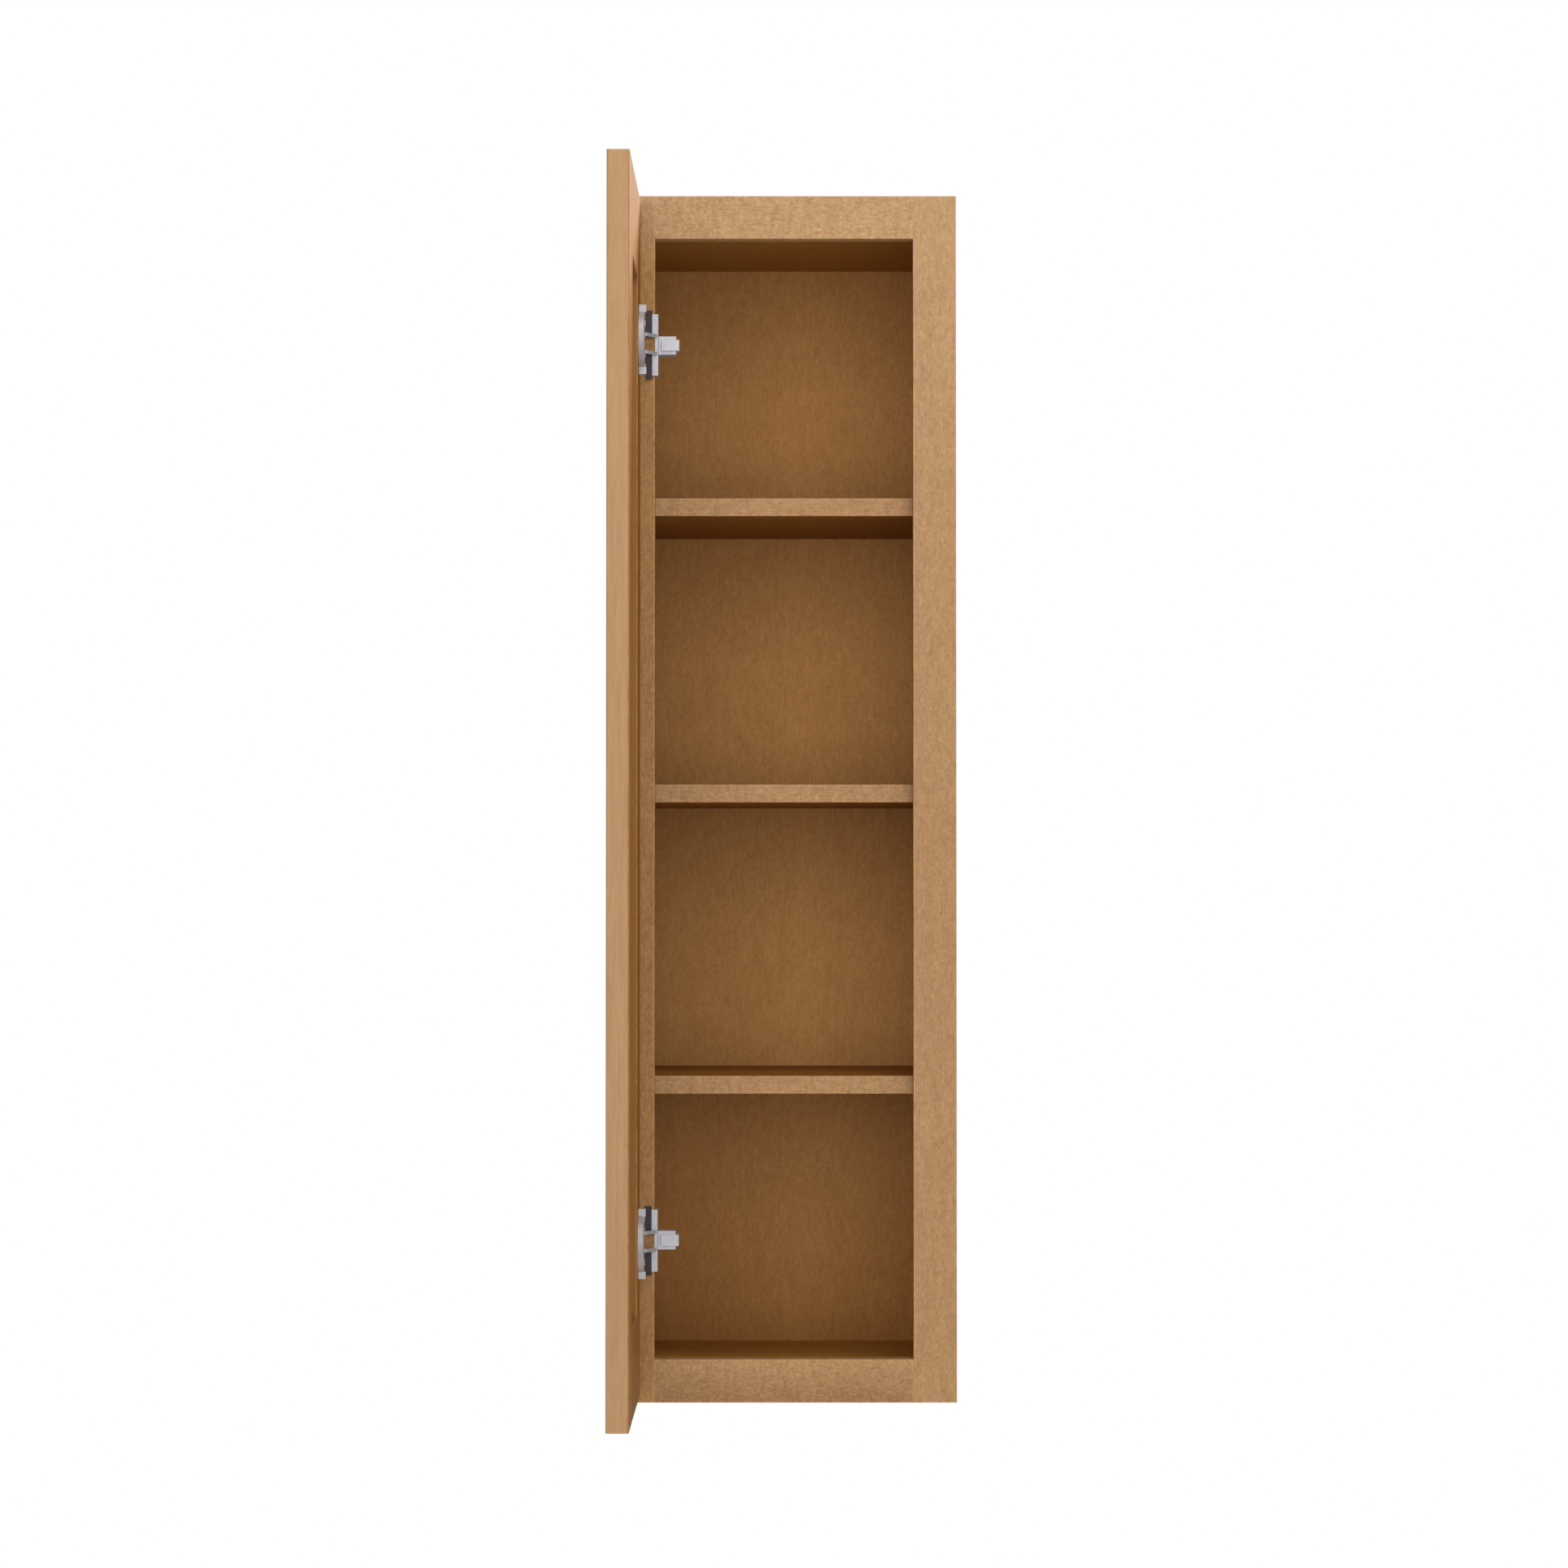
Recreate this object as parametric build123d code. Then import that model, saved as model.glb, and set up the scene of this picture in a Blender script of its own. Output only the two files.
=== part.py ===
"""Framed single-door wall cabinet: twelve by forty-two inches, three adjustable shelves.

Frame of reference: X to the right, Y away from the viewer, Z up. The origin is on the
back (wall) plane, at the middle of the width, level with the underside of the case.
The door is drawn closed and then swung open about its hinge pins to the rest pose.
"""
import os

from build123d import *

# ---------------------------------------------------------------- driving dimensions
INCH = 25.4
CASE_WIDTH = 12 * INCH
CASE_HEIGHT = 42 * INCH
CASE_DEPTH = 12 * INCH

FRAME_THICKNESS = 0.75 * INCH
FRAME_MEMBER = 1.5 * INCH
FRAME_OVERHANG = 0.125 * INCH

PANEL_THICKNESS = 0.5 * INCH
RABBET = 0.25 * INCH
END_RECESS = 14.7

SHELF_THICKNESS = 0.625 * INCH
SHELF_SETBACK = 29.5
SHELF_END_GAP = 1.2
SHELF_BACK_GAP = 1.5
SHELF_LIFT_GAP = 0.3
EDGE_BAND = 1.0
SHELF_UNDERSIDES = {"lower": 270.6, "middle": 529.6, "upper": 784.9}

PIN_RADIUS = 2.5
PIN_DEPTH = 9.0
PIN_HOLE_RADIUS = 2.55
PIN_HOLE_DEPTH = 10.0
PIN_PITCH = 32.0
PIN_LINE_INSET = 37.0
PIN_TONGUE = (8.0, 11.0, 2.0)

DOOR_REVEAL = 0.25 * INCH
DOOR_THICKNESS = 0.75 * INCH
DOOR_MEMBER = 3 * INCH
DOOR_PANEL_THICKNESS = 0.25 * INCH
DOOR_GROOVE = 9.5
DOOR_PANEL_GAP = 0.8
DOOR_GAP = 4.0
DOOR_CORNER = 1.6
OPEN_ANGLE = 90.0

HINGE_HEIGHTS = {"upper": 934.2, "lower": 142.5}
PIVOT_U = 9.6
PIVOT_V = 13.45
CUP_U = 20.0
CUP_BORE_RADIUS = 17.5
CUP_BORE_DEPTH = 13.8
CUP_RADIUS = 17.4
CUP_INNER_RADIUS = 16.7
CUP_INNER_DEPTH = 13.0
FLANGE = 1.2
FLANGE_RADIUS = 19.5
FLANGE_HALF_HEIGHT = 30.5
FLANGE_EDGE_U = 2.2
FLANGE_START_U = 14.0
CUP_SCREW_U = 30.0
CUP_SCREW_OFFSET = 25.0
HOUSING_U = 36.0
HOUSING_RADIUS = 23.85
HOUSING_PROUD = 4.8
EAR_LENGTH = 2.6
EAR_HEIGHT = 6.5
EAR_PROUD = 6.2
HINGE_PIN_RADIUS = 1.5
HINGE_PIN_HALF = 12.9
RUNNING_CLEARANCE = 0.05
HUB_RADIUS = 2.2
LEG_THICKNESS = 1.6
LEG_Z = (6.3, 9.3)
KNEE_U = 24.6
KNEE_V = 15.5
FOOT_U = 33.2
PLATE_FRONT = 1.5
PLATE_THICKNESS = 2.8
PLATE_HALF_HEIGHT = 27.2
LIP_WIDTH = 2.4
WINDOW_HALF_HEIGHT = 7.0
WING_U = (23.6, 29.35)
FINGER_U = 21.7
FINGER_Z = ((7.0, 11.0), (16.8, 21.8))
FINGER_THICKNESS = 0.7
ARM_LENGTH_U = 16.0
ARM_HALF_HEIGHT = 8.25
ARM_V = (-22.0, -3.4)
SLIDE_U = (37.15, 53.25)
SLIDE_HALF_HEIGHT = 5.0
SLIDE_V = (-21.0, -1.15)
FRAME_SCREW_OFFSET = 18.0
SCREW_HEAD_RADIUS = 3.4
SCREW_HEAD_DEPTH = 1.6
SCREW_SHANK_RADIUS = 1.8

DOWEL_RADIUS = 4.0
DOWEL_LENGTH = 50.0
BRAD_RADIUS = 0.8
BRAD_LENGTH = 28.0
BRADS_PER_SIDE = 7
EASING = 0.6

# ---------------------------------------------------------------- derived dimensions
FRONT_Y = -CASE_DEPTH
FRAME_BACK_Y = FRONT_Y + FRAME_THICKNESS
HALF_WIDTH = CASE_WIDTH / 2
SIDE_OUTER_X = HALF_WIDTH - FRAME_OVERHANG
SIDE_INNER_X = SIDE_OUTER_X - PANEL_THICKNESS
OPENING_HALF = HALF_WIDTH - FRAME_MEMBER
BACK_FRONT_Y = -PANEL_THICKNESS
FLOOR_TOP = END_RECESS + PANEL_THICKNESS
CEILING = CASE_HEIGHT - FLOOR_TOP
SHELF_FRONT_Y = FRONT_Y + SHELF_SETBACK
DOOR_LEFT_X = -HALF_WIDTH + DOOR_REVEAL
DOOR_RIGHT_X = -DOOR_LEFT_X
DOOR_BOTTOM = DOOR_REVEAL
DOOR_TOP = CASE_HEIGHT - DOOR_REVEAL
STILE_EDGE_U = -OPENING_HALF - DOOR_LEFT_X
PIVOT = Axis((DOOR_LEFT_X + PIVOT_U, FRONT_Y - PIVOT_V, 0), (0, 0, 1))

parts = {}


# ---------------------------------------------------------------- helpers
def block(x, y, z):
    """A box between two limits on each axis."""
    size = [abs(limits[1] - limits[0]) for limits in (x, y, z)]
    middle = [(limits[1] + limits[0]) / 2 for limits in (x, y, z)]
    return Pos(*middle) * Box(*size)


def eased(solid, radius=EASING):
    """The same solid with every edge slightly rounded."""
    return fillet(solid.edges(), radius)


def rod(start, direction, length, radius):
    """A cylinder from a start point along a direction."""
    plane = Plane(origin=start, z_dir=direction)
    return extrude(plane * Circle(radius), length)


def x_at(u):
    """X of a point u to the right of the closed door's hinge edge."""
    return DOOR_LEFT_X + u


def y_at(v):
    """Y of a point v in front of the face frame."""
    return FRONT_Y - v


def hinge_block(u, v, z):
    """A box given in hinge coordinates."""
    return block((x_at(u[0]), x_at(u[1])), (y_at(v[0]), y_at(v[1])), z)


# ---------------------------------------------------------------- case
def side_panel(side):
    """A side with a rabbet for the back panel and dadoes for the top and bottom panels."""
    outer = side * SIDE_OUTER_X
    inner = side * SIDE_INNER_X
    dado = side * (SIDE_INNER_X + RABBET)
    panel = eased(block((outer, inner), (FRAME_BACK_Y, 0), (0, CASE_HEIGHT)))
    panel -= block((inner, dado), (BACK_FRONT_Y, 1), (-1, CASE_HEIGHT + 1))
    for low in (END_RECESS, CEILING):
        panel -= block((inner, dado), (FRAME_BACK_Y - 1, BACK_FRONT_Y), (low, low + PANEL_THICKNESS))
    for height in shelf_pin_heights():
        for depth in shelf_pin_depths():
            panel -= rod((inner, depth, height), (side, 0, 0), PIN_HOLE_DEPTH, PIN_HOLE_RADIUS)
    return panel


def shelf_pin_depths():
    """The two pin lines, one near the front and one near the back of the shelves."""
    shelf_back = BACK_FRONT_Y - SHELF_BACK_GAP
    return (SHELF_FRONT_Y + PIN_LINE_INSET, shelf_back - PIN_LINE_INSET)


def pin_height(underside):
    """Height of a pin's axis, below a shelf that rests on the pin's tongue."""
    return underside - SHELF_LIFT_GAP - PIN_RADIUS


def shelf_pin_heights():
    """Each shelf's hole with one spare above and one below."""
    return [pin_height(z) + step * PIN_PITCH for z in SHELF_UNDERSIDES.values() for step in (-1, 0, 1)]


def end_panel(low):
    """The top or bottom panel, held in the dadoes of both sides."""
    reach = SIDE_INNER_X + RABBET
    return block((-reach, reach), (FRAME_BACK_Y, BACK_FRONT_Y), (low, low + PANEL_THICKNESS))


def back_panel():
    """The full-height back, let in flush between the sides."""
    reach = SIDE_INNER_X + RABBET
    return block((-reach, reach), (BACK_FRONT_Y, 0), (0, CASE_HEIGHT))


def back_brads():
    """Headless brads through the back panel into the sides."""
    spacing = (CASE_HEIGHT - 4 * FRAME_MEMBER) / (BRADS_PER_SIDE - 1)
    brads = []
    for side in (-1, 1):
        for index in range(BRADS_PER_SIDE):
            height = 2 * FRAME_MEMBER + index * spacing
            start = (side * (SIDE_INNER_X + RABBET / 2), 0, height)
            brads.append(rod(start, (0, -1, 0), BRAD_LENGTH, BRAD_RADIUS))
    return Compound(children=brads)


parts["left_side_panel"] = side_panel(-1)
parts["right_side_panel"] = side_panel(1)
parts["bottom_panel"] = end_panel(END_RECESS)
parts["top_panel"] = end_panel(CEILING)
parts["back_panel"] = back_panel()
parts["back_brads"] = back_brads()


# ---------------------------------------------------------------- face frame
def dowel_places():
    """Height and direction of each dowel, two at every corner of the face frame."""
    rail_middles = (FRAME_MEMBER / 2, CASE_HEIGHT - FRAME_MEMBER / 2)
    offset = FRAME_MEMBER / 4
    return [(side, z + step * offset) for side in (-1, 1) for z in rail_middles for step in (-1, 1)]


def frame_dowels():
    """Dowels across the joints between the stiles and the rails."""
    middle_y = (FRONT_Y + FRAME_BACK_Y) / 2
    dowels = []
    for side, height in dowel_places():
        start = (side * (OPENING_HALF - DOWEL_LENGTH / 2), middle_y, height)
        dowels.append(rod(start, (side, 0, 0), DOWEL_LENGTH, DOWEL_RADIUS))
    return Compound(children=dowels)


def frame_stile(side):
    """A full-height stile of the face frame."""
    x = (side * OPENING_HALF, side * HALF_WIDTH)
    return eased(block(x, (FRONT_Y, FRAME_BACK_Y), (0, CASE_HEIGHT)))


def frame_rail(low):
    """A rail between the stiles; its ends stay square where they meet them."""
    rail = block((-OPENING_HALF, OPENING_HALF), (FRONT_Y, FRAME_BACK_Y), (low, low + FRAME_MEMBER))
    return fillet(rail.edges().filter_by(Axis.X), EASING)


dowels = frame_dowels()
parts["frame_left_stile"] = frame_stile(-1) - dowels
parts["frame_right_stile"] = frame_stile(1) - dowels
parts["frame_bottom_rail"] = frame_rail(0) - dowels
parts["frame_top_rail"] = frame_rail(CASE_HEIGHT - FRAME_MEMBER) - dowels
parts["frame_dowels"] = dowels


# ---------------------------------------------------------------- shelves and their pins
def shelf_board(underside):
    """A plywood shelf board, less the band on its front edge."""
    reach = SIDE_INNER_X - SHELF_END_GAP
    y = (SHELF_FRONT_Y + EDGE_BAND, BACK_FRONT_Y - SHELF_BACK_GAP)
    return block((-reach, reach), y, (underside, underside + SHELF_THICKNESS))


def shelf_band(underside):
    """The solid band on a shelf's front edge."""
    reach = SIDE_INNER_X - SHELF_END_GAP
    y = (SHELF_FRONT_Y, SHELF_FRONT_Y + EDGE_BAND)
    band = block((-reach, reach), y, (underside, underside + SHELF_THICKNESS))
    front_edges = band.edges().filter_by(Axis.X).group_by(Axis.Y)[0]
    return fillet(front_edges, EASING)


def shelf_pins(underside):
    """Four pins, each a round peg with a flat tongue that carries the shelf."""
    length, width, thickness = PIN_TONGUE
    height = pin_height(underside)
    top = underside - SHELF_LIFT_GAP
    pins = []
    for side in (-1, 1):
        for depth in shelf_pin_depths():
            inner = side * SIDE_INNER_X
            peg = rod((inner, depth, height), (side, 0, 0), PIN_DEPTH, PIN_RADIUS)
            x = (inner, inner - side * length)
            y = (depth - width / 2, depth + width / 2)
            tongue = block(x, y, (top - thickness, top))
            collar = block((inner, inner - side * thickness), y, (top - width, top))
            pins.append(peg + tongue + collar)
    return Compound(children=pins)


for place, underside in SHELF_UNDERSIDES.items():
    parts[f"{place}_shelf"] = shelf_board(underside)
    parts[f"{place}_shelf_band"] = shelf_band(underside)
    parts[f"{place}_shelf_pins"] = shelf_pins(underside)

# ---------------------------------------------------------------- door, drawn closed
door_y = (y_at(DOOR_GAP), y_at(DOOR_GAP + DOOR_THICKNESS))
door_middle_v = DOOR_GAP + DOOR_THICKNESS / 2
groove_y = (y_at(door_middle_v - DOOR_PANEL_THICKNESS / 2), y_at(door_middle_v + DOOR_PANEL_THICKNESS / 2))
inner_left = DOOR_LEFT_X + DOOR_MEMBER
inner_right = DOOR_RIGHT_X - DOOR_MEMBER


def door_stile(outer, inner, groove_end):
    """A full-height stile with rounded outer corners and a groove for the panel."""
    stile = block((outer, inner), door_y, (DOOR_BOTTOM, DOOR_TOP))
    upright = stile.edges().filter_by(Axis.Z)
    far = 0 if outer < inner else -1
    stile = fillet(upright.group_by(Axis.X)[far], DOOR_CORNER)
    stile = fillet(stile.edges().filter_by(Axis.Z).group_by(Axis.X)[-1 - far], EASING)
    return stile - block((inner, groove_end), groove_y, (DOOR_BOTTOM, DOOR_TOP))


def door_rail(low, groove_low, groove_high):
    """A rail with a stub tenon at each end and a groove for the panel."""
    high = low + DOOR_MEMBER
    rail = block((inner_left, inner_right), door_y, (low, high))
    rail = fillet(rail.edges().filter_by(Axis.X), EASING)
    tenons_x = (inner_left - DOOR_GROOVE, inner_right + DOOR_GROOVE)
    rail += block(tenons_x, groove_y, (low, high))
    return rail - block(tenons_x, groove_y, (groove_low, groove_high))


def cup_bores():
    """The round pockets for the hinge cups, in the back of the hinge stile."""
    bores = []
    for height in HINGE_HEIGHTS.values():
        start = (x_at(CUP_U), y_at(DOOR_GAP), height)
        bores.append(rod(start, (0, -1, 0), CUP_BORE_DEPTH, CUP_BORE_RADIUS))
    return bores


door_parts = {}
hinge_stile = door_stile(DOOR_LEFT_X, inner_left, inner_left - DOOR_GROOVE)
for bore in cup_bores():
    hinge_stile -= bore
door_parts["door_hinge_stile"] = hinge_stile
door_parts["door_free_stile"] = door_stile(DOOR_RIGHT_X, inner_right, inner_right + DOOR_GROOVE)
low_rail_top = DOOR_BOTTOM + DOOR_MEMBER
high_rail_low = DOOR_TOP - DOOR_MEMBER
door_parts["door_bottom_rail"] = door_rail(DOOR_BOTTOM, low_rail_top - DOOR_GROOVE, low_rail_top + 1)
door_parts["door_top_rail"] = door_rail(high_rail_low, high_rail_low - 1, high_rail_low + DOOR_GROOVE)
panel_reach = DOOR_GROOVE - DOOR_PANEL_GAP
door_parts["door_panel"] = block(
    (inner_left - panel_reach, inner_right + panel_reach),
    groove_y,
    (low_rail_top - panel_reach, high_rail_low + panel_reach),
)


# ---------------------------------------------------------------- hinges, door side
def hinge_cup(height):
    """The drawn cup with its thin flange and the two raised ears at the flange's tips."""
    mouth = (x_at(CUP_U), y_at(DOOR_GAP), height)
    top = DOOR_GAP - FLANGE
    cup = rod(mouth, (0, -1, 0), CUP_INNER_DEPTH + CUP_RADIUS - CUP_INNER_RADIUS, CUP_RADIUS)
    z = (height - FLANGE_HALF_HEIGHT, height + FLANGE_HALF_HEIGHT)
    flange = rod((x_at(CUP_U), y_at(top), height), (0, -1, 0), FLANGE, FLANGE_RADIUS)
    flange &= hinge_block((FLANGE_EDGE_U, HOUSING_U - 0.1), (top, DOOR_GAP), z)
    cup += flange + hinge_block((FLANGE_START_U, HOUSING_U - 0.1), (top, DOOR_GAP), z)
    ear_end = HOUSING_U + EAR_LENGTH
    for direction in (-1, 1):
        tip = height + direction * FLANGE_HALF_HEIGHT
        ear_z = (tip - direction * EAR_HEIGHT, tip)
        cup += hinge_block((HOUSING_U - 0.1, ear_end), (top, DOOR_GAP), ear_z)
        cup += hinge_block((HOUSING_U, ear_end), (DOOR_GAP - EAR_PROUD, top), ear_z)
    cup -= rod((x_at(CUP_U), y_at(top), height), (0, -1, 0), FLANGE + CUP_INNER_DEPTH, CUP_INNER_RADIUS)
    for place in cup_screw_places(height):
        cup -= countersunk_screw(place, (0, -1, 0), DOOR_GAP)
    return cup


def cup_screw_places(height):
    """Head centres of the two screws in a cup's flange."""
    face = y_at(DOOR_GAP - FLANGE)
    return [(x_at(CUP_SCREW_U), face, height + side * CUP_SCREW_OFFSET) for side in (-1, 1)]


def countersunk_screw(place, direction, length):
    """A screw with a flat countersunk head, along a direction from its head's face."""
    head_depth = SCREW_HEAD_RADIUS - SCREW_SHANK_RADIUS
    plane = Plane(origin=place, z_dir=direction)
    head = plane * Pos(0, 0, head_depth / 2) * Cone(SCREW_HEAD_RADIUS, SCREW_SHANK_RADIUS, head_depth)
    return head + rod(place, direction, length, SCREW_SHANK_RADIUS)


def screw_recess(place, direction):
    """The cross recess cut in a screw's head."""
    plane = Plane(origin=place, z_dir=direction)
    return plane * (Box(3.6, 0.8, 2.0) + Box(0.8, 3.6, 2.0))


def damper_housing(height):
    """The half-round housing beside the cup that hides the soft-close damper."""
    centre = (x_at(HOUSING_U), y_at(DOOR_GAP - HOUSING_PROUD), height)
    disc = rod(centre, (0, -1, 0), HOUSING_PROUD, HOUSING_RADIUS)
    reach = 2 * HOUSING_RADIUS
    keep = hinge_block(
        (HOUSING_U, HOUSING_U + reach),
        (DOOR_GAP - HOUSING_PROUD, DOOR_GAP),
        (height - reach, height + reach),
    )
    housing = disc & keep
    rim = housing.edges().group_by(Axis.Y)[-1]
    return fillet(rim, EASING)


def hinge_pin(height):
    """The pin across the cup that the door turns on."""
    foot = (x_at(PIVOT_U), y_at(PIVOT_V), height - HINGE_PIN_HALF)
    return rod(foot, (0, 0, 1), 2 * HINGE_PIN_HALF, HINGE_PIN_RADIUS)


def closing_spring(height):
    """The turns of the closing spring round the pin, between the two legs."""
    wire = 0.6
    pitch = 2 * wire + 0.1
    turns = 9
    rings = []
    for index in range(turns):
        level = height + (index - (turns - 1) / 2) * pitch
        rings.append(Pos(x_at(PIVOT_U), y_at(PIVOT_V), level) * Torus(HINGE_PIN_RADIUS + wire + 0.2, wire))
    return Compound(children=rings)


# ---------------------------------------------------------------- hinges, case side
def gooseneck(height):
    """Two bent legs from the frame plate to the pin."""
    half = LEG_THICKNESS / 2
    points = [(PIVOT_U, PIVOT_V), (KNEE_U, KNEE_V), (FOOT_U, PLATE_FRONT)]
    path = Polyline([(x_at(u), y_at(v)) for u, v in points])
    strip = make_face(offset(path, half, side=Side.BOTH))
    strip += Pos(x_at(PIVOT_U), y_at(PIVOT_V)) * Circle(HUB_RADIUS)
    strip -= Pos(x_at(PIVOT_U), y_at(PIVOT_V)) * Circle(HINGE_PIN_RADIUS + RUNNING_CLEARANCE)
    foot = Pos(x_at(FOOT_U), y_at(PLATE_FRONT) + HUB_RADIUS) * Rectangle(3 * HUB_RADIUS, 2 * HUB_RADIUS)
    strip -= foot
    legs = [
        Pos(0, 0, height + low) * extrude(strip, high - low)
        for low, high in (LEG_Z, (-LEG_Z[1], -LEG_Z[0]))
    ]
    return Compound(children=legs)


def frame_plate(height):
    """The plate on the stile's inner edge, with a lip and four fingers round its corner."""
    u_edge = STILE_EDGE_U
    v_back = -FRAME_THICKNESS + 0.5
    z = (height - PLATE_HALF_HEIGHT, height + PLATE_HALF_HEIGHT)
    plate = hinge_block((u_edge, u_edge + PLATE_THICKNESS), (v_back, PLATE_FRONT), z)
    for direction in (-1, 1):
        lip_z = (height + direction * WINDOW_HALF_HEIGHT, height + direction * PLATE_HALF_HEIGHT)
        plate += hinge_block((u_edge - LIP_WIDTH, u_edge), (0, PLATE_FRONT), lip_z)
    plate += plate_fingers(height, (FINGER_U, u_edge - LIP_WIDTH))
    for place in frame_screw_places(height):
        plate -= countersunk_screw(place, (-1, 0, 0), 2 * PLATE_THICKNESS)
    return plate


def plate_fingers(height, u):
    """The four thin fingers of a frame plate that lie on the face of the stile."""
    fingers = []
    for near, far in FINGER_Z:
        for direction in (-1, 1):
            z = (height + direction * near, height + direction * far)
            fingers.append(hinge_block(u, (0, FINGER_THICKNESS), z))
    return fingers


def frame_screw_places(height):
    """Head centres of the two screws that hold a frame plate to the stile."""
    face = x_at(STILE_EDGE_U + PLATE_THICKNESS)
    middle = y_at(-FRAME_THICKNESS / 2)
    return [(face, middle, height + side * FRAME_SCREW_OFFSET) for side in (-1, 1)]


def frame_wings(height):
    """The dark wings beside the plate's lip, over its fingers."""
    wings = []
    for direction in (-1, 1):
        wing_z = (height + direction * WINDOW_HALF_HEIGHT, height + direction * FLANGE_HALF_HEIGHT)
        wing = hinge_block(WING_U, (0, PLATE_FRONT), wing_z)
        wings.append(wing - plate_fingers(height, WING_U))
    return Compound(children=wings)


def arm_block(height):
    """The channel-shaped block on the plate that the adjusting slide sits in."""
    u = (STILE_EDGE_U + PLATE_THICKNESS, STILE_EDGE_U + PLATE_THICKNESS + ARM_LENGTH_U)
    z = (height - ARM_HALF_HEIGHT, height + ARM_HALF_HEIGHT)
    arm = eased(hinge_block(u, ARM_V, z))
    slot_z = (height - SLIDE_HALF_HEIGHT, height + SLIDE_HALF_HEIGHT)
    return arm - hinge_block((SLIDE_U[0], u[1] + 1), (ARM_V[0] - 1, ARM_V[1] + 1), slot_z)


def adjusting_slide(height):
    """The box-shaped slide that sets the door's side adjustment."""
    z = (height - SLIDE_HALF_HEIGHT, height + SLIDE_HALF_HEIGHT)
    slide = eased(hinge_block(SLIDE_U, SLIDE_V, z), EASING / 2)
    place = (x_at(SLIDE_U[1]), y_at((SLIDE_V[0] + SLIDE_V[1]) / 2), height)
    slide -= rod(place, (-1, 0, 0), SCREW_HEAD_DEPTH, SCREW_HEAD_RADIUS)
    return slide - rod(place, (-1, 0, 0), ARM_LENGTH_U / 2, SCREW_SHANK_RADIUS)


def adjusting_screw(height):
    """The screw let in flush with the side of the slide."""
    place = (x_at(SLIDE_U[1]), y_at((SLIDE_V[0] + SLIDE_V[1]) / 2), height)
    screw = rod(place, (-1, 0, 0), SCREW_HEAD_DEPTH, SCREW_HEAD_RADIUS)
    screw += rod(place, (-1, 0, 0), ARM_LENGTH_U / 2, SCREW_SHANK_RADIUS)
    return screw - screw_recess(place, (-1, 0, 0))


for place, height in HINGE_HEIGHTS.items():
    cup_screws = [
        countersunk_screw(spot, (0, -1, 0), CUP_BORE_DEPTH) - screw_recess(spot, (0, -1, 0))
        for spot in cup_screw_places(height)
    ]
    frame_screws = [
        countersunk_screw(spot, (-1, 0, 0), ARM_LENGTH_U) - screw_recess(spot, (-1, 0, 0))
        for spot in frame_screw_places(height)
    ]
    door_parts[f"{place}_hinge_cup"] = hinge_cup(height)
    door_parts[f"{place}_hinge_cup_screws"] = Compound(children=cup_screws)
    door_parts[f"{place}_hinge_damper_housing"] = damper_housing(height)
    door_parts[f"{place}_hinge_pin"] = hinge_pin(height)
    door_parts[f"{place}_hinge_spring"] = closing_spring(height)
    parts[f"{place}_hinge_gooseneck"] = gooseneck(height)
    parts[f"{place}_hinge_frame_plate"] = frame_plate(height)
    parts[f"{place}_hinge_wings"] = frame_wings(height)
    parts[f"{place}_hinge_arm_block"] = arm_block(height)
    parts[f"{place}_hinge_adjusting_slide"] = adjusting_slide(height)
    parts[f"{place}_hinge_adjusting_screw"] = adjusting_screw(height)
    parts[f"{place}_hinge_frame_screws"] = Compound(children=frame_screws)

# ---------------------------------------------------------------- swing the door open, write all
for name, shape in door_parts.items():
    parts[name] = shape.rotate(PIVOT, -OPEN_ANGLE)

os.makedirs("parts", exist_ok=True)
for name, shape in parts.items():
    export_step(shape, f"parts/{name}.step")
    print(f"{name}: {len(shape.solids())} solid(s)")
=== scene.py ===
"""Looks of the framed wall cabinet: stained maple, nickel hinges, plain studio.

Everything is in metres in the frame of the CAD model: X right, Y away from the viewer,
Z up, wall plane at y = 0. The door is at rest when it stands open.
"""
import math

import bpy
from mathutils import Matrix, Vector


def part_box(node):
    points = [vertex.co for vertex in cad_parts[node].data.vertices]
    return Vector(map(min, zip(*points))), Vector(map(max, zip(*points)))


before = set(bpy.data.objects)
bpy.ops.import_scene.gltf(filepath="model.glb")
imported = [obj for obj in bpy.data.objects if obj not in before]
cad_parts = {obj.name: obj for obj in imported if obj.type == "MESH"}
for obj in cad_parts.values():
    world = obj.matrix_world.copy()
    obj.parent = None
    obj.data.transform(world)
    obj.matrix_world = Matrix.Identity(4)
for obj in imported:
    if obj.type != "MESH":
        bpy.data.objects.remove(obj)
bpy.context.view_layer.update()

# ---------------------------------------------------------------- sizes and places
FRONT_LOW, FRONT_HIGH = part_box("frame_left_stile")
CABINET_FRONT = FRONT_LOW.y
CABINET_HEIGHT = FRONT_HIGH.z
CAMERA_DISTANCE = 4.10
CAMERA_HEIGHT = 0.4392
CAMERA_PITCH = math.radians(1.481)
CAMERA_LENS = 106.53
SENSOR_WIDTH = 36.0
FLOOR_DROP = 1.37
FLOOR_SIZE = 12.0
FLOOR_DARKEST = (0.86, 0.86, 0.86)
FLOOR_LIGHTEST = (0.89, 0.89, 0.885)
CLIP_END = 60.0

# ---------------------------------------------------------------- light levels
WORLD_FILL = 0.24
WHITE = (1.0, 1.0, 1.0, 1.0)
KEY_POWER = 89.0
KEY_PLACE = (0.0, -4.4, 1.10)
KEY_SIZE = 3.0
TOP_POWER = 17.0
TOP_PLACE = (0.3, -1.5, 2.6)
TOP_SIZE = 0.9
RIM_POWER = 150.0
RIM_PLACE = (1.6, 1.5, 2.3)
RIM_SIZE = 1.2

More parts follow.
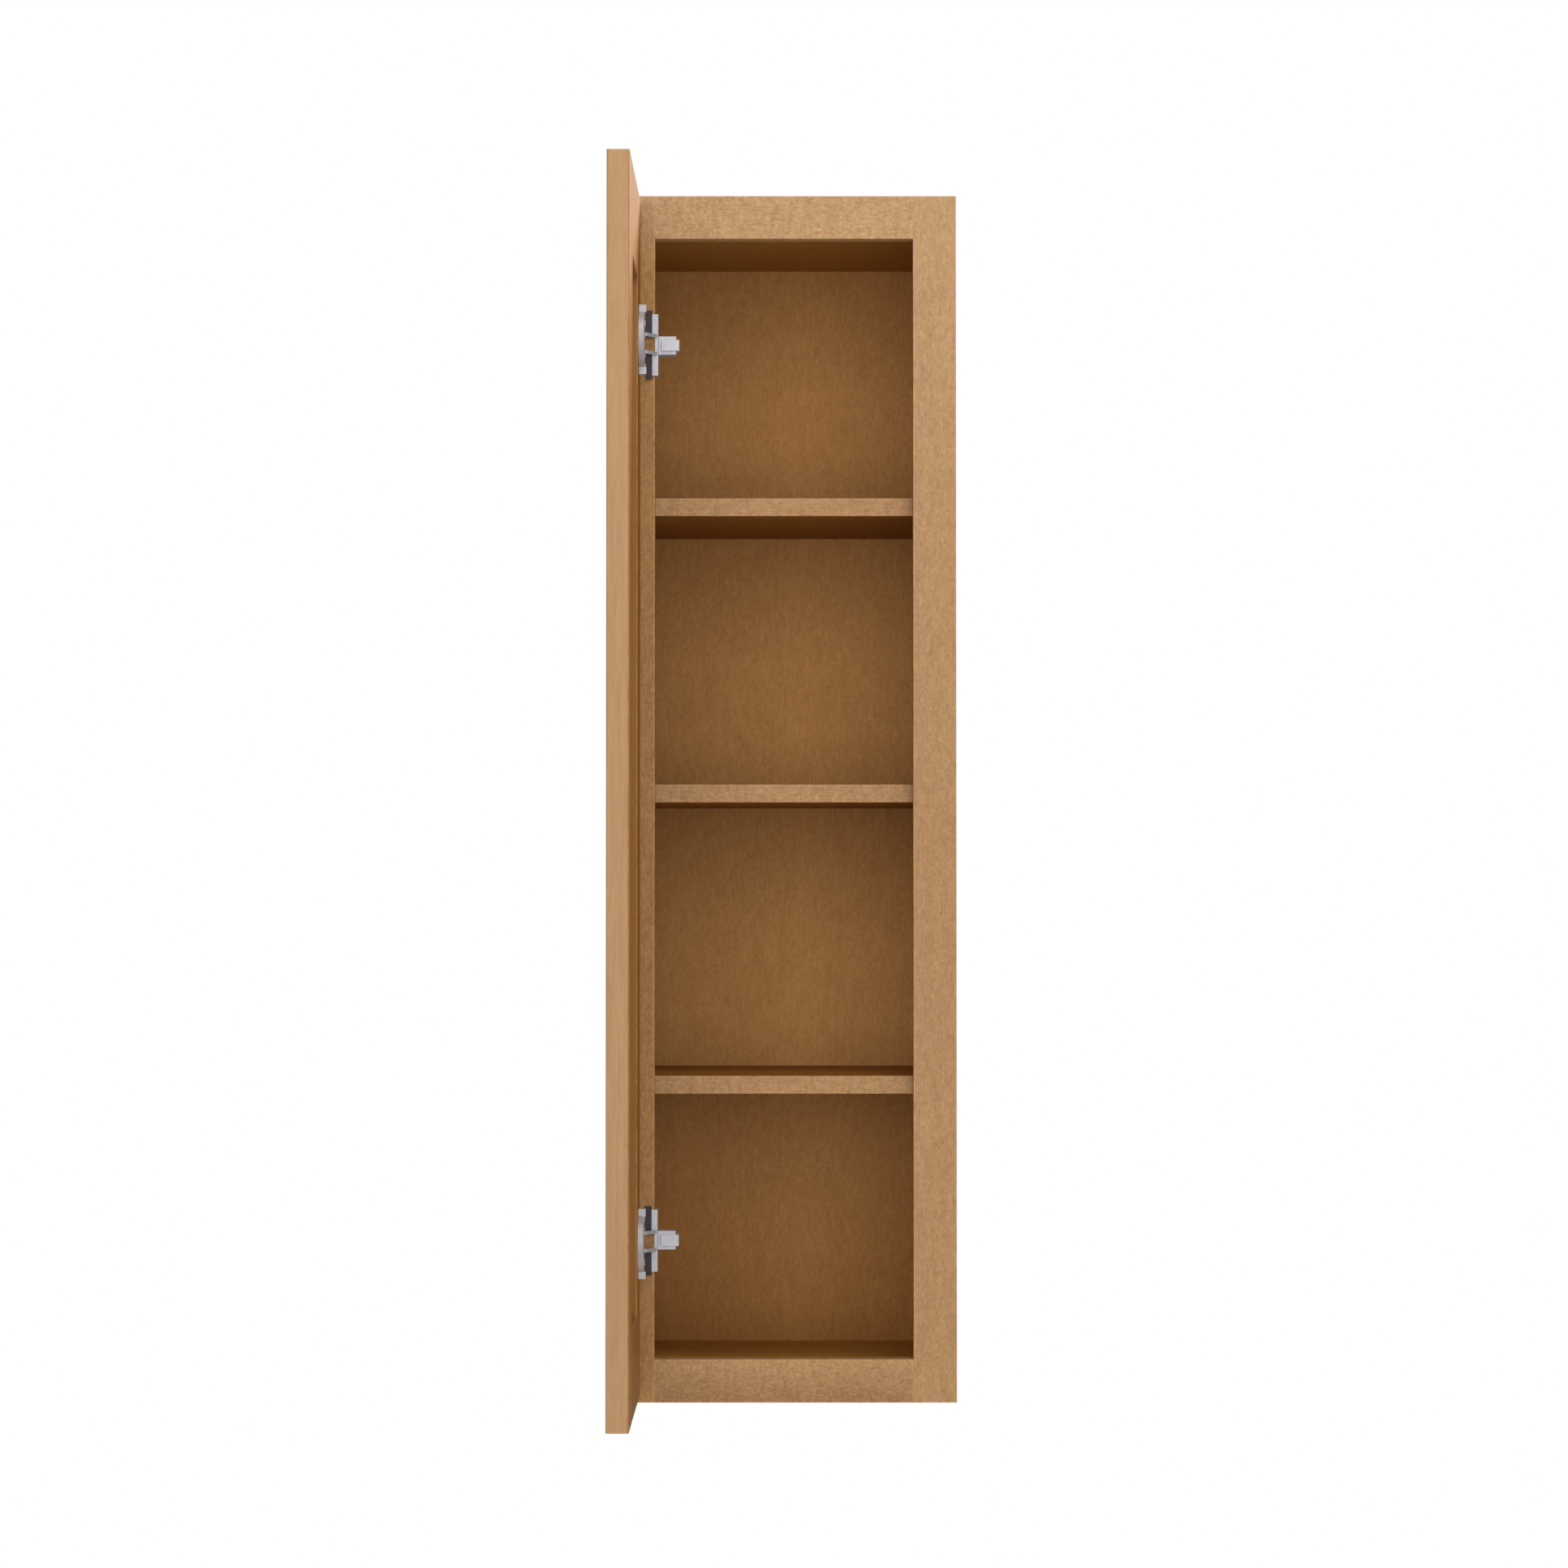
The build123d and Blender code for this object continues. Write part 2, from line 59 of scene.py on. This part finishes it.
# ---------------------------------------------------------------- stains, painted shade and metal colours, linear
# The stains were matched to the photo. Those of the inside are warmer and darker than
# OUTSIDE_MAPLE, because the photo shows the inside in shade.
FRAME_MAPLE = (0.515, 0.303, 0.142)
BAND_MAPLE = (0.462, 0.258, 0.110)
DOOR_MAPLE = (0.490, 0.277, 0.127)
# Painted shade: the next four are darker copies of the stain, for the bottom rail and the lower
# right stile, the bottom edge of the bottom rail, the left stile in the door's shadow and the
# bottom of the back panel.
FRAME_SHADE_MAPLE = (0.470, 0.264, 0.114)
LOW_RAIL_SHADE_MAPLE = (0.350, 0.178, 0.066)
LEFT_STILE_SHADOW_MAPLE = (0.430, 0.216, 0.071)
LOW_BACK_SHADE_MAPLE = (0.420, 0.190, 0.046)
# Painted shade on the back of the door, darker than DOOR_MAPLE.
DOOR_BACK_SHADE_MAPLE = (0.360, 0.152, 0.030)
OUTSIDE_MAPLE = (0.480, 0.270, 0.122)
# Painted shade: the inside colours of the case, shelves, back, top and bottom are warmer, darker
# copies of the stain.
CASE_SHADE_MAPLE = (0.385, 0.170, 0.036)
SHELF_SHADE_MAPLE = (0.295, 0.110, 0.013)
BACK_SHADE_MAPLE = (0.600, 0.298, 0.088)
END_SHADE_MAPLE = (0.470, 0.226, 0.040)
ROSE = (0.970, 0.900, 0.880)
BEECH = (0.550, 0.370, 0.210)
SATIN_SHINE = 0.22
SOFT_SHINE = 0.10
NICKEL = (0.560, 0.560, 0.590)
ZINC = (0.440, 0.440, 0.460)
# Painted shade: near-black steel for the hinge wings, whose bent sheet lies in shade.
WING_SHADE_STEEL = (0.042, 0.033, 0.036)
SPRING_WIRE = (0.300, 0.295, 0.300)
HOUSING_GREY = (0.560, 0.530, 0.550)


# ---------------------------------------------------------------- figure of the wood
# Weights of the flecks, curl, grain lines and pores.
MOTTLED = (0.86, 0.44, 0.10, 0.28)
CALM = (0.62, 0.32, 0.10, 0.20)
SOFT = (0.46, 0.34, 0.10, 0.18)
STRAIGHT = (0.04, 0.06, 0.36, 0.20)

# Pattern scales, per metre, and how far they are drawn out along the grain.
BLOTCH_SCALE = 9.0
FLECK_SCALE = 420.0
CURL_SCALE = (140.0, 140.0, 60.0)
LINE_SCALE = 320.0
PORE_SCALE = 1100.0
GRAIN_SCALES = {"X": (0.05, 1.0, 1.0), "Y": (1.0, 0.05, 1.0), "Z": (1.0, 1.0, 0.05)}
FLECK_SCALES = {"X": (0.60, 1.0, 1.0), "Y": (1.0, 0.60, 1.0), "Z": (1.0, 1.0, 0.60)}
SEED_STEP = (1.37, 2.11, 0.73)
FLECK_BUMP = 0.00010
PORE_BUMP = 0.00006

# Factors on a stain, and what they show.
DARKEST = (0.80, 0.755, 0.68)
LIGHTEST = (1.18, 1.22, 1.30)
# Lighter edges, partly wear and partly a painted highlight.
EDGE_WEAR_AND_HIGHLIGHT = (1.32, 1.42, 1.58)
PLY_LINE = (0.55, 0.50, 0.45)
PLY_LINE_STRENGTH = 0.6
ROSY_STRENGTH = 0.40
EDGE_WEAR_AND_HIGHLIGHT_WIDTH = 0.0018

PLY_PAIR = 0.0028
PLY_AXIS = {
    "left_side_panel": "X",
    "right_side_panel": "X",
    "back_panel": "Y",
    "upper_shelf": "Z",
    "middle_shelf": "Z",
    "lower_shelf": "Z",
}

# A second colour on the side of a piece at the low or high end of an axis, down to a depth. On
# the panels it is the plain outside stain, beside the painted shade of the inside colours, and on
# the door it is a painted shade on the back.
LOW, HIGH = 0, 1
PANEL_OUTSIDE = 0.0115
DOOR_RECESS = 0.0080
DOOR_SKIN = 0.0012
SIDE_SHADE_SPLIT = {
    "left_side_panel": ("X", LOW, PANEL_OUTSIDE, OUTSIDE_MAPLE),
    "right_side_panel": ("X", HIGH, PANEL_OUTSIDE, OUTSIDE_MAPLE),
    "back_panel": ("Y", HIGH, PANEL_OUTSIDE, OUTSIDE_MAPLE),
    "top_panel": ("Z", HIGH, PANEL_OUTSIDE, OUTSIDE_MAPLE),
    "bottom_panel": ("Z", LOW, PANEL_OUTSIDE, OUTSIDE_MAPLE),
    "door_hinge_stile": ("X", HIGH, DOOR_RECESS, DOOR_BACK_SHADE_MAPLE),
    "door_free_stile": ("X", HIGH, DOOR_SKIN, DOOR_BACK_SHADE_MAPLE),
    "door_top_rail": ("X", HIGH, DOOR_RECESS, DOOR_BACK_SHADE_MAPLE),
    "door_bottom_rail": ("X", HIGH, DOOR_RECESS, DOOR_BACK_SHADE_MAPLE),
    "door_panel": ("X", HIGH, DOOR_SKIN, DOOR_BACK_SHADE_MAPLE),
}

# Height where the colour starts to change, height where it has changed, and the second shade.
# This is painted shade: it stands in for the photo's uneven light, which the lamps below don't
# give.
SHADE_DRIFT = {
    "frame_left_stile": (1.064, 1.000, LEFT_STILE_SHADOW_MAPLE),
    "frame_right_stile": (1.000, 0.680, FRAME_SHADE_MAPLE),
    "frame_bottom_rail": (0.034, 0.000, LOW_RAIL_SHADE_MAPLE),
    "back_panel": (0.200, 0.030, LOW_BACK_SHADE_MAPLE),
}

# ---------------------------------------------------------------- figure of the metal
DRAW_SCALE = (900.0, 900.0, 120.0)
CLOUD_SCALE = (90.0, 90.0, 90.0)
FINE_SCALE = (2400.0, 2400.0, 2400.0)
METAL_DARKEST = (0.90, 0.90, 0.91)
METAL_LIGHTEST = (1.08, 1.08, 1.07)
METAL_WORN = (1.25, 1.25, 1.25)
METAL_WORN_STRENGTH = 0.25
DRAW_BUMP = 0.00002
FINE_BUMP = 0.00001


# ---------------------------------------------------------------- node helpers
def shaded(colour, factors):
    """A colour scaled per channel and kept below white."""
    return tuple(min(1.0, c * f) for c, f in zip(colour, factors))


class Graph:
    """A material's node tree with short calls for the nodes used here."""

    def __init__(self, name):
        self.material = bpy.data.materials.new(name)
        self.material.use_nodes = True
        self.tree = self.material.node_tree
        self.tree.nodes.clear()
        self.shader = self.add("ShaderNodeBsdfPrincipled")
        output = self.add("ShaderNodeOutputMaterial")
        self.link(self.shader.outputs["BSDF"], output.inputs["Surface"])
        self.place = self.add("ShaderNodeTexCoord").outputs["Object"]

    def add(self, kind, **settings):
        node = self.tree.nodes.new(kind)
        for key, value in settings.items():
            setattr(node, key, value)
        return node

    def link(self, source, target):
        self.tree.links.new(source, target)

    def feed(self, socket, value):
        """Links a socket, or sets it when the value is a plain number or tuple."""
        if isinstance(value, bpy.types.NodeSocket):
            self.link(value, socket)
        else:
            socket.default_value = value

    def math(self, operation, a, b=0.0, clamp=False):
        node = self.add("ShaderNodeMath", operation=operation, use_clamp=clamp)
        self.feed(node.inputs[0], a)
        self.feed(node.inputs[1], b)
        return node.outputs[0]

    def stretched(self, scale, offset):
        """Object coordinates scaled per axis, to draw a pattern out along the grain."""
        node = self.add("ShaderNodeMapping")
        self.link(self.place, node.inputs["Vector"])
        node.inputs["Scale"].default_value = scale
        node.inputs["Location"].default_value = offset
        return node.outputs[0]

    def noise(self, vector, scale=1.0, detail=3.0, roughness=0.55, distortion=0.0):
        node = self.add("ShaderNodeTexNoise")
        self.link(vector, node.inputs["Vector"])
        node.inputs["Scale"].default_value = scale
        node.inputs["Detail"].default_value = detail
        node.inputs["Roughness"].default_value = roughness
        node.inputs["Distortion"].default_value = distortion
        return node.outputs["Fac"]

    def remap(self, value, low, high, to_low=0.0, to_high=1.0):
        node = self.add("ShaderNodeMapRange")
        self.link(value, node.inputs["Value"])
        node.inputs["From Min"].default_value = low
        node.inputs["From Max"].default_value = high
        node.inputs["To Min"].default_value = to_low
        node.inputs["To Max"].default_value = to_high
        return node.outputs[0]

    def mix(self, factor, a, b, blend="MIX"):
        node = self.add("ShaderNodeMix", data_type="RGBA", blend_type=blend)
        self.feed(node.inputs[0], factor)
        self.feed(node.inputs[6], a if isinstance(a, bpy.types.NodeSocket) else (*a, 1.0))
        self.feed(node.inputs[7], b if isinstance(b, bpy.types.NodeSocket) else (*b, 1.0))
        return node.outputs[2]

    def bump(self, height, distance, strength=1.0, normal=None):
        node = self.add("ShaderNodeBump")
        self.link(height, node.inputs["Height"])
        node.inputs["Distance"].default_value = distance
        node.inputs["Strength"].default_value = strength
        if normal is not None:
            self.link(normal, node.inputs["Normal"])
        return node.outputs[0]

    def across(self, axis):
        """One object coordinate, by its name or its number."""
        parts = self.add("ShaderNodeSeparateXYZ")
        self.link(self.place, parts.inputs[0])
        return parts.outputs[axis]

    def figured(self, tone, base_colour):
        """A base colour from its darkest to its lightest shade."""
        return self.mix(tone, shaded(base_colour, DARKEST), shaded(base_colour, LIGHTEST))

    def plies(self, face, line, low, axis):
        """Bands of plywood plies on the faces that show its thickness."""
        depth = self.math("SUBTRACT", self.across(axis), low["XYZ".index(axis)])
        steps = self.math("MULTIPLY", depth, 1 / PLY_PAIR)
        band = self.math("GREATER_THAN", self.math("FRACT", steps), 0.5)
        facing = self.add("ShaderNodeSeparateXYZ")
        self.link(self.add("ShaderNodeTexCoord").outputs["Normal"], facing.inputs[0])
        on_edge = self.math("LESS_THAN", self.math("ABSOLUTE", facing.outputs[axis]), 0.5)
        shown = self.math("MULTIPLY", self.math("MULTIPLY", band, on_edge), PLY_LINE_STRENGTH)
        return self.mix(shown, face, line)

    def near_edge(self, low, high, width):
        """1 on the edges of a box, falling to 0 at a width from them."""
        gaps = []
        for axis in range(3):
            here = self.across(axis)
            from_low = self.math("SUBTRACT", here, low[axis])
            from_high = self.math("SUBTRACT", high[axis], here)
            gaps.append(self.math("MINIMUM", from_low, from_high))
        smaller = self.math("MINIMUM", gaps[0], gaps[1])
        larger = self.math("MAXIMUM", gaps[0], gaps[1])
        second = self.math("MAXIMUM", smaller, self.math("MINIMUM", larger, gaps[2]))
        node = self.add("ShaderNodeMapRange", interpolation_type="SMOOTHSTEP")
        self.link(second, node.inputs["Value"])
        node.inputs["From Min"].default_value = 0.0
        node.inputs["From Max"].default_value = width
        node.inputs["To Min"].default_value = 1.0
        node.inputs["To Max"].default_value = 0.0
        return node.outputs[0]


def wood(node, seed, grain, base_colour, shine, figure):
    """Stained maple: soft blotches, curly flecks, grain lines and fine pores, with painted shade
    on some boards and sides, and lighter edges of wear and painted highlight.
    """
    g = Graph(f"{node}_wood")
    low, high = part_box(node)
    shift = tuple(seed * step for step in SEED_STEP)

    def pattern(scale, stretches, **settings):
        return g.noise(g.stretched(tuple(scale * s for s in stretches), shift), **settings)

    along, across = GRAIN_SCALES[grain], FLECK_SCALES[grain]
    blotch = pattern(BLOTCH_SCALE, across, detail=2.0)
    fleck = pattern(FLECK_SCALE, across, detail=4.0, roughness=0.66, distortion=0.8)
    curl = pattern(1.0, CURL_SCALE, roughness=0.62, distortion=1.3)
    lines = pattern(LINE_SCALE, along, detail=4.0, distortion=0.4)
    pores = pattern(PORE_SCALE, along, detail=2.0)

    tone = 0.5 - sum(figure) / 2
    for layer, weight in zip((fleck, curl, lines, pores), figure):
        tone = g.math("ADD", g.math("MULTIPLY", g.remap(layer, 0.35, 0.65), weight), tone)
    colour = g.figured(tone, base_colour)
    # Painted shade: on the listed boards the colour drifts darker along Z.
    if node in SHADE_DRIFT:
        start, end, shade = SHADE_DRIFT[node]
        colour = g.mix(g.remap(g.across("Z"), start, end), colour, g.figured(tone, shade))
    rosy = g.math("MULTIPLY", g.remap(blotch, 0.40, 0.66), ROSY_STRENGTH, clamp=True)
    colour = g.mix(rosy, colour, ROSE, "MULTIPLY")
    # Painted shade: the panels' outsides keep the plain stain beside the shaded insides, and the
    # door's back gets a darker painted shade.
    if node in SIDE_SHADE_SPLIT:
        axis, side, depth, shade = SIDE_SHADE_SPLIT[node]
        face = (low, high)[side]["XYZ".index(axis)]
        inward = depth if side == LOW else -depth
        second = g.remap(g.across(axis), face + inward, face + inward * 0.9)
        colour = g.mix(second, colour, g.figured(tone, shade))
    if node in PLY_AXIS:
        colour = g.plies(colour, shaded(base_colour, PLY_LINE), low, PLY_AXIS[node])
    # Edges lighten: partly wear, partly a painted highlight.
    edge = g.near_edge(low, high, EDGE_WEAR_AND_HIGHLIGHT_WIDTH)
    lightened = g.math("MULTIPLY", edge, g.remap(curl, 0.35, 0.60, 0.10, 0.50), clamp=True)
    colour = g.mix(lightened, colour, shaded(base_colour, EDGE_WEAR_AND_HIGHLIGHT))

    g.link(colour, g.shader.inputs["Base Color"])
    g.link(g.remap(lines, 0.25, 0.75, 0.42, 0.58), g.shader.inputs["Roughness"])
    g.shader.inputs["Specular IOR Level"].default_value = shine
    normal = g.bump(fleck, FLECK_BUMP, 0.30)
    normal = g.bump(pores, PORE_BUMP, 0.50, normal)
    g.link(normal, g.shader.inputs["Normal"])
    return g.material


def metal(name, colour, roughness, metallic=0.45):
    """Plated steel with fine draw lines, faint clouds and brighter worn spots."""
    g = Graph(name)
    lines = g.noise(g.stretched(DRAW_SCALE, (0.0, 0.0, 0.0)))
    cloud = g.noise(g.stretched(CLOUD_SCALE, (3.0, 1.0, 2.0)), detail=2.0)
    fine = g.noise(g.stretched(FINE_SCALE, (1.0, 4.0, 2.0)), detail=2.0)

    clouded = g.math("MULTIPLY", g.remap(cloud, 0.3, 0.7), 0.6)
    tone = g.math("ADD", clouded, g.math("MULTIPLY", lines, 0.4))
    shade = g.mix(tone, shaded(colour, METAL_DARKEST), shaded(colour, METAL_LIGHTEST))
    lightened = g.math("MULTIPLY", g.remap(fine, 0.62, 0.75), METAL_WORN_STRENGTH, clamp=True)
    shade = g.mix(lightened, shade, shaded(colour, METAL_WORN))

    g.link(shade, g.shader.inputs["Base Color"])
    g.shader.inputs["Metallic"].default_value = metallic
    dull = g.remap(lines, 0.3, 0.7, roughness - 0.05, roughness + 0.07)
    g.link(dull, g.shader.inputs["Roughness"])
    normal = g.bump(lines, DRAW_BUMP, 0.5)
    g.link(g.bump(fine, FINE_BUMP, 0.5, normal), g.shader.inputs["Normal"])
    return g.material


# ---------------------------------------------------------------- materials on the CAD nodes
def dress(node, material):
    """Puts one material on every slot of a CAD node."""
    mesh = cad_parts[node].data
    mesh.materials.clear()
    mesh.materials.append(material)
    for face in mesh.polygons:
        face.material_index = 0


WOODS = {
    "left_side_panel": ("Z", CASE_SHADE_MAPLE, SOFT_SHINE, SOFT),
    "right_side_panel": ("Z", CASE_SHADE_MAPLE, SOFT_SHINE, SOFT),
    "back_panel": ("Z", BACK_SHADE_MAPLE, SOFT_SHINE, SOFT),
    "top_panel": ("X", END_SHADE_MAPLE, SOFT_SHINE, SOFT),
    "bottom_panel": ("X", END_SHADE_MAPLE, SOFT_SHINE, SOFT),
    "frame_left_stile": ("Z", FRAME_MAPLE, SATIN_SHINE, MOTTLED),
    "frame_right_stile": ("Z", FRAME_MAPLE, SATIN_SHINE, CALM),
    "frame_top_rail": ("X", FRAME_MAPLE, SATIN_SHINE, MOTTLED),
    "frame_bottom_rail": ("X", FRAME_SHADE_MAPLE, SATIN_SHINE, MOTTLED),
    "upper_shelf": ("X", SHELF_SHADE_MAPLE, SOFT_SHINE, SOFT),
    "middle_shelf": ("X", SHELF_SHADE_MAPLE, SOFT_SHINE, SOFT),
    "lower_shelf": ("X", SHELF_SHADE_MAPLE, SOFT_SHINE, SOFT),
    "upper_shelf_band": ("X", BAND_MAPLE, SATIN_SHINE, MOTTLED),
    "middle_shelf_band": ("X", BAND_MAPLE, SATIN_SHINE, MOTTLED),
    "lower_shelf_band": ("X", BAND_MAPLE, SATIN_SHINE, MOTTLED),
    "door_hinge_stile": ("Z", DOOR_MAPLE, SATIN_SHINE, STRAIGHT),
    "door_free_stile": ("Z", DOOR_MAPLE, SATIN_SHINE, STRAIGHT),
    "door_top_rail": ("Y", DOOR_MAPLE, SATIN_SHINE, STRAIGHT),
    "door_bottom_rail": ("Y", DOOR_MAPLE, SATIN_SHINE, STRAIGHT),
    "door_panel": ("Z", DOOR_MAPLE, SATIN_SHINE, STRAIGHT),
    "frame_dowels": ("X", BEECH, SATIN_SHINE, STRAIGHT),
}
for seed, (node, look) in enumerate(WOODS.items()):
    dress(node, wood(node, seed + 1, *look))

nickel = metal("nickel", NICKEL, 0.48)
zinc = metal("zinc", ZINC, 0.45)
wing_shade_steel = metal("wing_shade_steel", WING_SHADE_STEEL, 0.42, 0.6)
spring_wire = metal("spring_wire", SPRING_WIRE, 0.38, 0.8)
housing = metal("housing", HOUSING_GREY, 0.50, 0.30)

dress("back_brads", zinc)
for place in ("upper", "middle", "lower"):
    dress(f"{place}_shelf_pins", zinc)
for place in ("upper", "lower"):
    for piece in ("gooseneck", "frame_plate", "arm_block", "adjusting_slide", "cup"):
        dress(f"{place}_hinge_{piece}", nickel)
    for piece in ("adjusting_screw", "frame_screws", "cup_screws", "pin"):
        dress(f"{place}_hinge_{piece}", zinc)
    # The wings get the near-black painted shade.
    dress(f"{place}_hinge_wings", wing_shade_steel)
    dress(f"{place}_hinge_damper_housing", housing)
    dress(f"{place}_hinge_spring", spring_wire)


# ---------------------------------------------------------------- studio
def area_light(name, power, place, size, target):
    """A square soft light that points at a place."""
    data = bpy.data.lights.new(name, "AREA")
    data.energy = power
    data.size = size
    lamp = bpy.data.objects.new(name, data)
    lamp.location = place
    lamp.rotation_euler = (Vector(target) - Vector(place)).to_track_quat("-Z", "Y").to_euler()
    bpy.context.scene.collection.objects.link(lamp)


def white_world(fill):
    """A white backdrop to the camera, and an even white fill for everything else."""
    world = bpy.data.worlds.new("studio")
    world.use_nodes = True
    tree = world.node_tree
    tree.nodes.clear()
    seen = tree.nodes.new("ShaderNodeBackground")
    seen.inputs["Strength"].default_value = 1.0
    seen.inputs["Color"].default_value = WHITE
    lit = tree.nodes.new("ShaderNodeBackground")
    lit.inputs["Strength"].default_value = fill
    lit.inputs["Color"].default_value = WHITE
    path = tree.nodes.new("ShaderNodeLightPath")
    mix = tree.nodes.new("ShaderNodeMixShader")
    output = tree.nodes.new("ShaderNodeOutputWorld")
    tree.links.new(path.outputs["Is Camera Ray"], mix.inputs[0])
    tree.links.new(lit.outputs[0], mix.inputs[1])
    tree.links.new(seen.outputs[0], mix.inputs[2])
    tree.links.new(mix.outputs[0], output.inputs["Surface"])
    bpy.context.scene.world = world


def studio_floor():
    """A plain pale floor well below the cabinet, which hangs at wall-cabinet height."""
    bpy.ops.mesh.primitive_plane_add(size=FLOOR_SIZE, location=(0.0, 0.0, -FLOOR_DROP))
    floor = bpy.context.object
    floor.name = "floor"
    g = Graph("floor_paint")
    cloud = g.noise(g.stretched((1.5, 1.5, 1.5), (0.0, 0.0, 0.0)), detail=2.0)
    paint = g.mix(g.remap(cloud, 0.3, 0.7), FLOOR_DARKEST, FLOOR_LIGHTEST)
    g.link(paint, g.shader.inputs["Base Color"])
    g.shader.inputs["Roughness"].default_value = 0.8
    floor.data.materials.append(g.material)


def camera():
    """The camera straight in front of the cabinet, tipped up slightly."""
    data = bpy.data.cameras.new("camera")
    data.lens = CAMERA_LENS
    data.sensor_width = SENSOR_WIDTH
    data.clip_end = CLIP_END
    eye = bpy.data.objects.new("camera", data)
    eye.location = (0.0, CABINET_FRONT - CAMERA_DISTANCE, CAMERA_HEIGHT)
    eye.rotation_euler = (math.pi / 2 + CAMERA_PITCH, 0.0, 0.0)
    bpy.context.scene.collection.objects.link(eye)
    bpy.context.scene.camera = eye


middle = (0.0, CABINET_FRONT, CABINET_HEIGHT / 2)
area_light("key", KEY_POWER, KEY_PLACE, KEY_SIZE, middle)
area_light("top", TOP_POWER, TOP_PLACE, TOP_SIZE, middle)
area_light("rim", RIM_POWER, RIM_PLACE, RIM_SIZE, middle)
white_world(WORLD_FILL)
studio_floor()
camera()
bpy.context.scene.view_settings.view_transform = "Standard"
